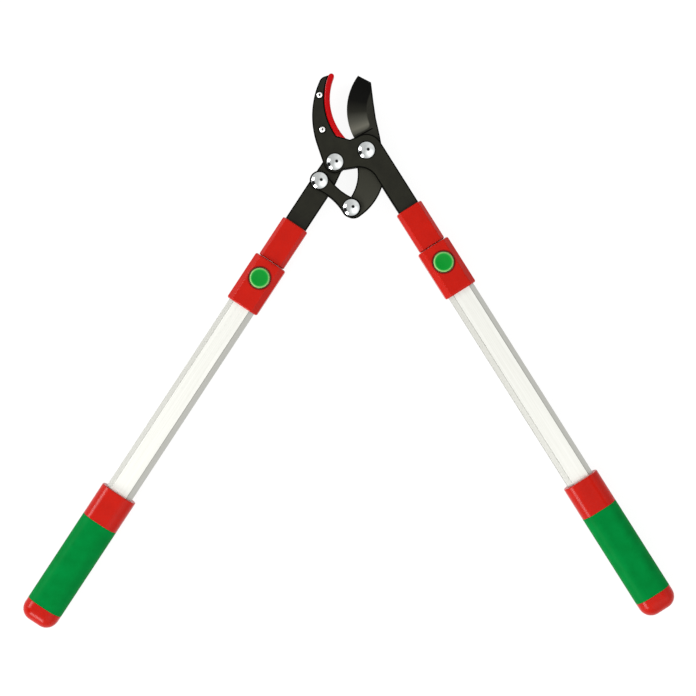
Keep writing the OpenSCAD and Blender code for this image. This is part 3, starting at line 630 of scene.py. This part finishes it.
def roll_rim(bm, flats, width, drop):
    """Insets flat faces and lowers their border where a wall starts; returns the rim's faces."""
    band = bmesh.ops.inset_region(
        bm, faces=flats, thickness=width, depth=0.0, use_boundary=True, use_even_offset=True,
    )["faces"]
    border = {
        v: math.copysign(drop, face.normal.z) for face in band for v in face.verts
        if any(abs(other.normal.z) < WALL_SHARE for other in v.link_faces)
    }
    for v, step in border.items():
        v.co.z -= step
    return [face for face in band if sum(v in border for v in face.verts) > 1]


PLATES = {
    "jaw_front": "jaw", "jaw_rear": "jaw", "left_arm": "arm",
    "link_front": "link", "link_rear": "link", "blade": "blade",
}
for name, body in PLATES.items():
    bm = merged_copy(name, Matrix.Identity(4))
    for face in roll_rim(bm, flat_faces(bm), RIM_WIDTH, RIM_DROP):
        face.material_index = 1
    slot = "blade_steel" if name == "blade" else "coated_steel"
    piece = place_piece(f"{name}_rolled", bm, Matrix.Identity(4), body, slot, name)
    # The second slot is the rim's near-black finish, a painted shade along the plate's edge
    piece.data.materials.append(rim_finish)

# %% [markdown]
# ## Anvil pad
#
# The pad's front and back slope down at their sides like a worn kerb, so its left shoulder catches the
# light and its right one stays dark. It is made like the plates, from its outermost faces alone: the
# tongue between the plates keeps its shape.

# %% Anvil pad
SHOULDER_WIDTH = 1.5 * MM
SHOULDER_DROP = 0.9 * MM
OUTERMOST = 0.01 * MM
low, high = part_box("anvil_pad")
bm = merged_copy("anvil_pad", Matrix.Identity(4))
outer = [
    face for face in flat_faces(bm)
    if min(face.verts[0].co.z - low.z, high.z - face.verts[0].co.z) < OUTERMOST
]
roll_rim(bm, outer, SHOULDER_WIDTH, SHOULDER_DROP)
place_piece("anvil_pad_crowned", bm, Matrix.Identity(4), "jaw", "pad_plastic", "anvil_pad")

# %% [markdown]
# ## Rivet stubs
#
# A blind rivet is pulled tight by a mandrel that snaps off inside it. The stub fills the rivet's hollow
# up to just below the head on both sides; its near-black tone is painted shade of that hollow, so it shows
# as a dark centre in the pale head.

# %% Rivet stubs
STUB_RADIUS = 1.15 * MM
STUB_DEPTH = 0.45 * MM
low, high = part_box("anvil_rivets")
for number, axis in enumerate(rivet_axes, 1):
    bm = bmesh.new()
    bmesh.ops.create_cone(
        bm, cap_ends=True, segments=24, radius1=STUB_RADIUS, radius2=STUB_RADIUS,
        depth=high.z - low.z - 2 * STUB_DEPTH,
    )
    stub = place_piece(f"anvil_rivet_stub_{number}", bm, Matrix.Translation(axis), "jaw", "steel")
    # The stub's near-black tone is a painted shade of the rivet's hollow
    stub.data.materials[0] = stub_shade_finish

# %% [markdown]
# ## Moulded handle parts
#
# The sleeve, the lock housing, the collar and the soft sleeve have broad rounded rims outside and sharp
# bores inside, so a modifier that rounds every edge would spoil the thin walls. Each is a copy of its CAD
# mesh instead: the loose triangles are merged, the flat ones joined, and only the chosen outer edges are
# bevelled. A Weighted Normal modifier then keeps the flats flat beside their smooth rims.

# %% Helpers for moulded parts
NEAR = 0.02 * MM
FOLD_TURN = math.radians(20)


def handle_copy(side, name):
    """Merged copy of a CAD node in its handle's own axes, with its lowest and highest corner."""
    bm = merged_copy(name, handle[side].inverted(), cuts=((1, 0, 0), (0, 1, 0)))
    corners = [Vector([pick(v.co[i] for v in bm.verts) for i in range(3)]) for pick in (min, max)]
    return bm, *corners


def near(a, b):
    """True where two places along an axis are the same."""
    return abs(a - b) < NEAR


def folded_edges(bm, chosen):
    """Edges between faces that turn, whose two ends are both chosen."""
    return [e for e in bm.edges if all(chosen(v.co) for v in e.verts) and e.calc_face_angle(0) > FOLD_TURN]


def round_edges(bm, edges, width, segments):
    """Bevels edges to a round."""
    bmesh.ops.bevel(
        bm, geom=edges, offset=width, offset_type="OFFSET", affect="EDGES",
        segments=segments, profile=0.5, material=-1, clamp_overlap=False,
    )


# %% Sleeves and lock housings
SLEEVE_ROUND, HOUSING_ROUND = 1.6 * MM, 2.0 * MM
# The long corners beside the button have room for a smaller round than the ends
LONG_SHARE = 0.42


def on_outer_corner(co, low, high, flat):
    """True on a shell's sides, and on the border of its broad faces, flat being their half width."""
    on_side, on_face = near(abs(co.x), high.x), near(abs(co.z), high.z)
    on_border = near(co.y, low.y) or near(co.y, high.y) or near(abs(co.x), flat)
    return on_side or (on_face and on_border)


for side in SIDES:
    arm_body = "arm" if side == "left" else "jaw"
    for part, body, width in (
        ("sleeve", arm_body, SLEEVE_ROUND), ("lock_housing", f"{side}_handle", HOUSING_ROUND),
    ):
        bm, low, high = handle_copy(side, f"{side}_{part}")
        flat = max(abs(v.co.x) for v in bm.verts if near(abs(v.co.z), high.z))
        weight = bm.edges.layers.float.new("bevel_weight_edge")
        chosen = folded_edges(bm, lambda co: on_outer_corner(co, low, high, flat))
        for edge in chosen:
            first, second = (v.co for v in edge.verts)
            along = near(first.x, second.x) and near(first.z, second.z)
            edge[weight] = LONG_SHARE if along else 1.0
        piece = place_piece(f"{side}_{part}_shell", bm, handle[side], body, "red_plastic", f"{side}_{part}")
        if part == "lock_housing":
            piece.data.materials[0] = housing_finish[side]
        soften(piece, width, segments=5, limit="WEIGHT")
        # The edges are rounded before the normals are weighted
        piece.modifiers.move(1, 0)
        print(len(chosen), "soft edges")

# %% Collars and soft sleeves
GRIP_ROUND = 13.5 * MM
GRIP_SLACK = 0.05 * MM
# Rounds of the collar's free rim, of the red rims that meet the rubber, and of the rubber's own rims
COLLAR_RIM, SEAM_RIM, RUBBER_RIM = 1.0 * MM, 0.35 * MM, 0.4 * MM


def on_grip_surface(co, half):
    """True where a point lies on the rounded section of the grip, half being its half width and height."""
    x, z = abs(co.x) - half.x + GRIP_ROUND, abs(co.z) - half.z + GRIP_ROUND
    depth = math.hypot(x, z) if x > 0 and z > 0 else max(x, z)
    return abs(depth - GRIP_ROUND) < GRIP_SLACK


for side in SIDES:
    for part, slot, top_rim, low_rim in (
        ("grip_core", "red_plastic", COLLAR_RIM, SEAM_RIM),
        ("grip_sleeve", "green_rubber", RUBBER_RIM, RUBBER_RIM),
    ):
        bm, _, high = handle_copy(side, f"{side}_{part}")
        ends = {round(v.co.y, 6) for v in bm.verts if on_grip_surface(v.co, high)}
        for y, width in ((min(ends), top_rim), (max(ends), low_rim)):
            edges = folded_edges(bm, lambda co: near(co.y, y) and on_grip_surface(co, high))
            round_edges(bm, edges, width, segments=4)
            print(len(edges), "edges")
        place_piece(f"{side}_{part}_skin", bm, handle[side], f"{side}_handle", slot, f"{side}_{part}")

# %% [markdown]
# ## Grip caps
#
# The end of each grip is a smooth red cap with a big round all over. The CAD solid has flat facets
# there. A block whose edges are all bevelled by the grip's corner radius, cut off square where the soft
# sleeve ends, is the same form with a smooth surface.

# %% Grip caps
# The block is longer than the cap, so that the cut removes its other rounded end
BLOCK_LENGTH = 80 * MM
for side in SIDES:
    old_cap, low, high = handle_copy(side, f"{side}_grip_cap")
    old_cap.free()
    old_sleeve, _, sleeve_end = handle_copy(side, f"{side}_grip_sleeve")
    old_sleeve.free()
    start = sleeve_end.y
    size = Vector((high.x - low.x, BLOCK_LENGTH, high.z - low.z))
    bm = bmesh.new()
    bmesh.ops.create_cube(bm, size=1.0)
    bmesh.ops.scale(bm, vec=size, verts=bm.verts)
    bmesh.ops.translate(bm, vec=(0, high.y - size.y / 2, (low.z + high.z) / 2), verts=bm.verts)
    round_edges(bm, bm.edges[:], GRIP_ROUND, segments=16)
    geom = bm.verts[:] + bm.edges[:] + bm.faces[:]
    cut = bmesh.ops.bisect_plane(
        bm, geom=geom, plane_co=(0, start, 0), plane_no=(0, -1, 0), clear_outer=True,
    )
    rim = [item for item in cut["geom_cut"] if isinstance(item, bmesh.types.BMEdge)]
    bmesh.ops.contextual_create(bm, geom=rim)
    bmesh.ops.recalc_face_normals(bm, faces=bm.faces)
    round_edges(bm, folded_edges(bm, lambda co: near(co.y, start)), SEAM_RIM, segments=3)
    place_piece(f"{side}_grip_dome", bm, handle[side], f"{side}_handle", "red_plastic", f"{side}_grip_cap")

# %% [markdown]
# ## Lock springs
#
# The tip of each lock spring reaches under the button. When the button goes down, the strip bends over the
# end of the outer tube, just outside the button's flange. The spring is a copy of its CAD mesh with a few
# cuts across the strip at that place, and is left free of the handle.

# %% Lock springs
BEND_FROM, BEND_TO = 14.1 * MM, 12.2 * MM
BEND_STEPS = 6
for side in SIDES:
    bm, *_ = handle_copy(side, f"{side}_lock_spring")
    for step in range(BEND_STEPS + 1):
        y = BEND_FROM + (BEND_TO - BEND_FROM) * step / BEND_STEPS
        cut_across(bm, (0, y, 0), (0, 1, 0))
    spring = place_piece(f"{side}_lock_spring_leaf", bm, handle[side], None, "steel", f"{side}_lock_spring")
    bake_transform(spring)

# %% [markdown]
# ## Table, camera and light
#
# The camera hangs two metres above the middle of the tool, which gives the slight perspective of a long
# lens. The table is a grey sheet that glows, so that it stays white around the tool and takes only a faint
# shadow. The light is a white studio: a nearly even room, with two windows on the left that make the left
# facets shine. The polished bolt heads mirror the whole room, so it also has a bright wall low on the
# right, a bright panel at the lower right, a dark spot near the zenith, where a real lens would be, and a
# dark corner on the left.

# %% Table
TABLE_REACH = 3.0
table_bm = bmesh.new()
bmesh.ops.create_grid(table_bm, x_segments=1, y_segments=1, size=TABLE_REACH)
table_mesh = bpy.data.meshes.new("table")
table_bm.to_mesh(table_mesh)
table_bm.free()
table = bpy.data.objects.new("table", table_mesh)
bpy.context.scene.collection.objects.link(table)
table_paint, tree, shader, place = new_material("white_table")
haze = add(tree, "ShaderNodeTexNoise", Vector=place, Scale=per_mm(60), Detail=2.0)
feed(
    tree, shader, Base_Color=shades(tree, haze.outputs["Fac"], [(0.3, "#5c5c5b"), (0.7, "#616160")]),
    Roughness=0.7, Specular_IOR_Level=0.2, Emission_Color=linear("#ffffff"), Emission_Strength=0.9,
)
table_mesh.materials.append(table_paint)
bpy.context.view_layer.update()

# %% Camera
VIEW_WIDTH = 730.8 * MM
CAMERA_HEIGHT = 2000 * MM
SENSOR_WIDTH_MM = 36
# The middle of the picture, from the blade's pivot
VIEW_X, VIEW_Y = -19.3 * MM, -207.3 * MM
camera_data = bpy.data.cameras.new("overhead")
camera_data.sensor_width = SENSOR_WIDTH_MM
camera_data.lens = SENSOR_WIDTH_MM * CAMERA_HEIGHT / VIEW_WIDTH
camera = bpy.data.objects.new("overhead", camera_data)
camera.location = blade_pivot + Vector((VIEW_X, VIEW_Y, CAMERA_HEIGHT))
bpy.context.scene.collection.objects.link(camera)
bpy.context.scene.camera = camera
print("lens", round(camera_data.lens, 1), "mm")

# %% Room light
ROOM_STRENGTH = 0.77
world = bpy.context.scene.world or bpy.data.worlds.new("studio")
bpy.context.scene.world = world
world.use_nodes = True
tree = world.node_tree
direction = add(tree, "ShaderNodeTexCoord").outputs["Generated"]
split = add(tree, "ShaderNodeSeparateXYZ", Vector=direction)
across = add(tree, "ShaderNodeMapRange", Value=split.outputs["X"], From_Min=-1.0, From_Max=1.0)
room = shades(tree, across.outputs["Result"], [
    (0.0, "#ffffff"), (0.5, "#ffffff"), (0.72, "#fafafa"), (0.9, "#e8e8e8"), (1.0, "#dddddd"),
])


def towards(azimuth, tilt):
    """Unit vector of a direction given in degrees, with tilt measured from the zenith."""
    turn, lean = math.radians(azimuth), math.radians(tilt)
    return Vector((math.sin(lean) * math.cos(turn), math.sin(lean) * math.sin(turn), math.cos(lean)))


def spot(colour, azimuth, tilt, radius, soft, level):
    """Dims or lifts the room around one direction; radius in degrees, soft as a share of it."""
    apart = add(
        tree, "ShaderNodeVectorMath", {"operation": "DISTANCE"}, i0=direction, i1=towards(azimuth, tilt),
    )
    rim = 2 * math.sin(math.radians(radius) / 2)
    shade = add(
        tree, "ShaderNodeMapRange", Value=apart.outputs["Value"],
        From_Min=rim * (1 - soft), From_Max=rim * (1 + soft), To_Min=level, To_Max=1.0,
    )
    return add(
        tree, "ShaderNodeVectorMath", {"operation": "SCALE"}, i0=colour, Scale=shade.outputs["Result"],
    ).outputs["Vector"]


# Bright: the wall low on the right and the panel at the lower right
room = spot(room, azimuth=15, tilt=80, radius=50, soft=0.6, level=1.7)
room = spot(room, azimuth=322, tilt=36, radius=30, soft=0.5, level=2.1)
# Dark: the lens near the zenith and the corner on the left
room = spot(room, azimuth=32, tilt=19, radius=14, soft=0.2, level=0.01)
room = spot(room, azimuth=198, tilt=58, radius=17, soft=0.2, level=0.03)
feed(tree, tree.nodes["Background"], Color=room, Strength=ROOM_STRENGTH)
print("room light", ROOM_STRENGTH)

# %% Window lights
WINDOW_DISTANCE, WINDOW_SIZE, WINDOW_WATTS = 6, 2.1, 205
for name, azimuth, tilt in (("upper_window", 160, 60), ("lower_window", 230, 60)):
    pane = bpy.data.lights.new(name, "AREA")
    pane.shape = "SQUARE"
    pane.size = WINDOW_SIZE
    pane.energy = WINDOW_WATTS
    lamp = bpy.data.objects.new(name, pane)
    lamp.location = WINDOW_DISTANCE * towards(azimuth, tilt)
    lamp.rotation_euler = (-lamp.location).to_track_quat("-Z", "Y").to_euler()
    bpy.context.scene.collection.objects.link(lamp)
    print(name, [round(v, 2) for v in lamp.location], pane.energy, "W")
bpy.context.scene.view_settings.view_transform = "Standard"
